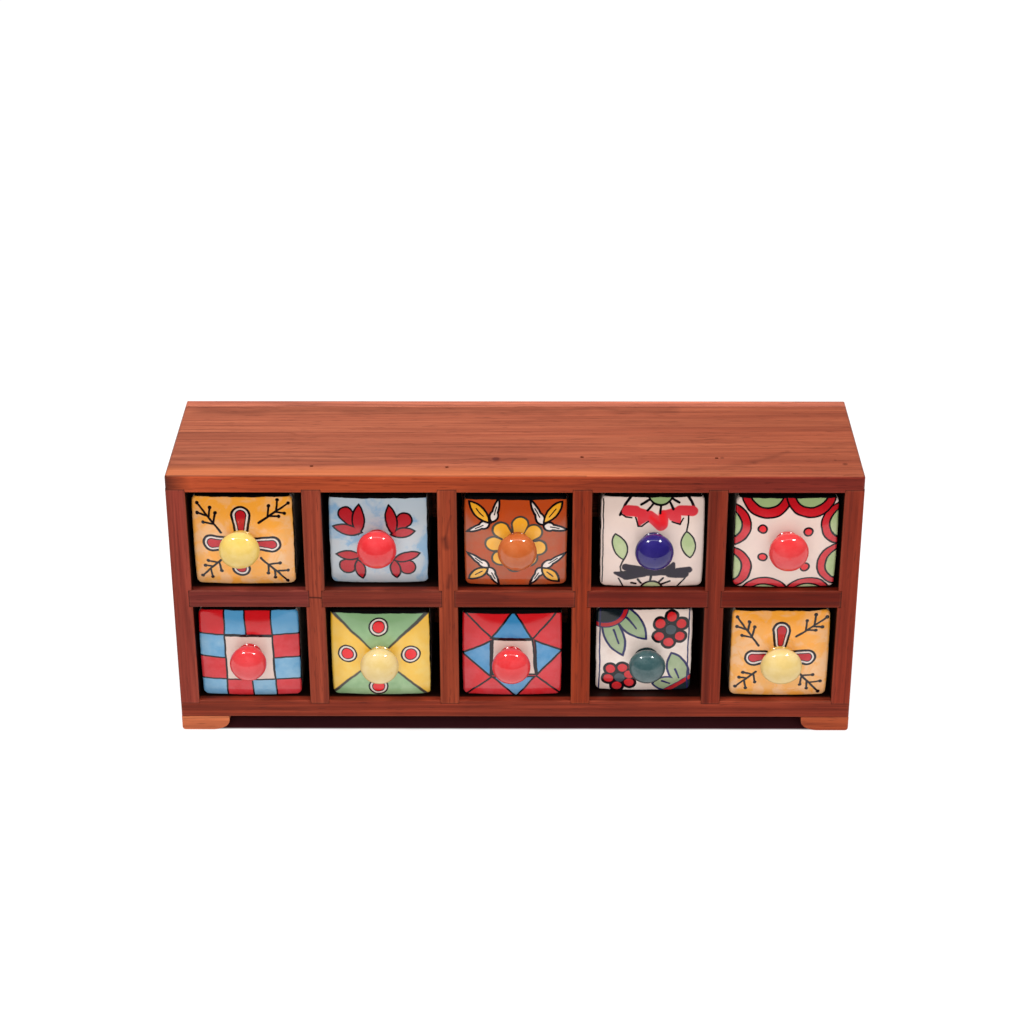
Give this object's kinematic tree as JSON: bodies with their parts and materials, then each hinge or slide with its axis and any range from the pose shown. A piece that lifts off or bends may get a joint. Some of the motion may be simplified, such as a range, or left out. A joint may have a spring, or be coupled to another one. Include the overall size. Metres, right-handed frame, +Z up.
{
  "type": "tabletop chest of drawers",
  "caption": "Low wooden tabletop chest with two rows of small painted ceramic drawers that slide out by round glazed knobs.",
  "frame": {"origin": "on the floor plane, at the middle of the carcass's width and depth (knobs stand out past the front)", "axes": "+X to the right along the width, +Y from the drawers' fronts to the back, +Z up"},
  "size_m": [0.394, 0.1195, 0.168],
  "materials": {
    "sheesham_top": "oiled rosewood-brown board, satin",
    "sheesham_back": "oiled rosewood-brown board, satin",
    "sheesham": "oiled rosewood-brown board, satin",
    "sheesham_foot": "oiled sapwood block, satin",
    "brad_steel": "dull iron",
    "upper_drawer_1_glaze": "hand-painted, clear glazed",
    "knob_yellow": "plain gloss glaze",
    "upper_drawer_2_glaze": "hand-painted, clear glazed",
    "knob_red": "plain gloss glaze",
    "upper_drawer_3_glaze": "hand-painted, clear glazed",
    "knob_brown": "plain gloss glaze",
    "upper_drawer_4_glaze": "hand-painted, clear glazed",
    "knob_navy": "plain gloss glaze",
    "upper_drawer_5_glaze": "hand-painted, clear glazed",
    "lower_drawer_1_glaze": "hand-painted, clear glazed",
    "lower_drawer_2_glaze": "hand-painted, clear glazed",
    "lower_drawer_3_glaze": "hand-painted, clear glazed",
    "lower_drawer_4_glaze": "hand-painted, clear glazed",
    "knob_teal": "plain gloss glaze",
    "lower_drawer_5_glaze": "hand-painted, clear glazed"
  },
  "bodies": {
    "carcass": {"top_board": "sheesham_top", "bottom_board": "sheesham", "left_side": "sheesham", "right_side": "sheesham", "back_board": "sheesham_back", "divider_1": "sheesham", "divider_2": "sheesham", "divider_3": "sheesham", "divider_4": "sheesham", "shelf_1": "sheesham", "shelf_2": "sheesham", "shelf_3": "sheesham", "shelf_4": "sheesham", "shelf_5": "sheesham", "front_left_foot": "sheesham_foot", "front_right_foot": "sheesham_foot", "rear_left_foot": "sheesham_foot", "rear_right_foot": "sheesham_foot", "top_brads": "brad_steel", "bottom_brads": "brad_steel", "back_brads": "brad_steel", "foot_brads": "brad_steel"},
    "upper_drawer_1": {"upper_drawer_1_tray": "upper_drawer_1_glaze", "upper_drawer_1_knob": "knob_yellow"},
    "upper_drawer_2": {"upper_drawer_2_tray": "upper_drawer_2_glaze", "upper_drawer_2_knob": "knob_red"},
    "upper_drawer_3": {"upper_drawer_3_tray": "upper_drawer_3_glaze", "upper_drawer_3_knob": "knob_brown"},
    "upper_drawer_4": {"upper_drawer_4_tray": "upper_drawer_4_glaze", "upper_drawer_4_knob": "knob_navy"},
    "upper_drawer_5": {"upper_drawer_5_tray": "upper_drawer_5_glaze", "upper_drawer_5_knob": "knob_red"},
    "lower_drawer_1": {"lower_drawer_1_tray": "lower_drawer_1_glaze", "lower_drawer_1_knob": "knob_red"},
    "lower_drawer_2": {"lower_drawer_2_tray": "lower_drawer_2_glaze", "lower_drawer_2_knob": "knob_yellow"},
    "lower_drawer_3": {"lower_drawer_3_tray": "lower_drawer_3_glaze", "lower_drawer_3_knob": "knob_red"},
    "lower_drawer_4": {"lower_drawer_4_tray": "lower_drawer_4_glaze", "lower_drawer_4_knob": "knob_teal"},
    "lower_drawer_5": {"lower_drawer_5_tray": "lower_drawer_5_glaze", "lower_drawer_5_knob": "knob_yellow"}
  },
  "joints": [
    {"name": "upper_drawer_1_slide", "type": "slide", "parent": "carcass", "child": "upper_drawer_1", "axis": [0, -1, 0], "range_m": [-0.00672, 0.06398]},
    {"name": "upper_drawer_2_slide", "type": "slide", "parent": "carcass", "child": "upper_drawer_2", "axis": [0, -1, 0], "range_m": [-0.00516, 0.06554]},
    {"name": "upper_drawer_3_slide", "type": "slide", "parent": "carcass", "child": "upper_drawer_3", "axis": [0, -1, 0], "range_m": [-0.00776, 0.06294]},
    {"name": "upper_drawer_4_slide", "type": "slide", "parent": "carcass", "child": "upper_drawer_4", "axis": [0, -1, 0], "range_m": [-0.00919, 0.06151]},
    {"name": "upper_drawer_5_slide", "type": "slide", "parent": "carcass", "child": "upper_drawer_5", "axis": [0, -1, 0], "range_m": [-0.00971, 0.06099]},
    {"name": "lower_drawer_1_slide", "type": "slide", "parent": "carcass", "child": "lower_drawer_1", "axis": [0, -1, 0], "range_m": [-0.00828, 0.06242]},
    {"name": "lower_drawer_2_slide", "type": "slide", "parent": "carcass", "child": "lower_drawer_2", "axis": [0, -1, 0], "range_m": [-0.00776, 0.06294]},
    {"name": "lower_drawer_3_slide", "type": "slide", "parent": "carcass", "child": "lower_drawer_3", "axis": [0, -1, 0], "range_m": [-0.00776, 0.06294]},
    {"name": "lower_drawer_4_slide", "type": "slide", "parent": "carcass", "child": "lower_drawer_4", "axis": [0, -1, 0], "range_m": [-0.0023, 0.0684]},
    {"name": "lower_drawer_5_slide", "type": "slide", "parent": "carcass", "child": "lower_drawer_5", "axis": [0, -1, 0], "range_m": [-0.00776, 0.06294]}
  ]
}
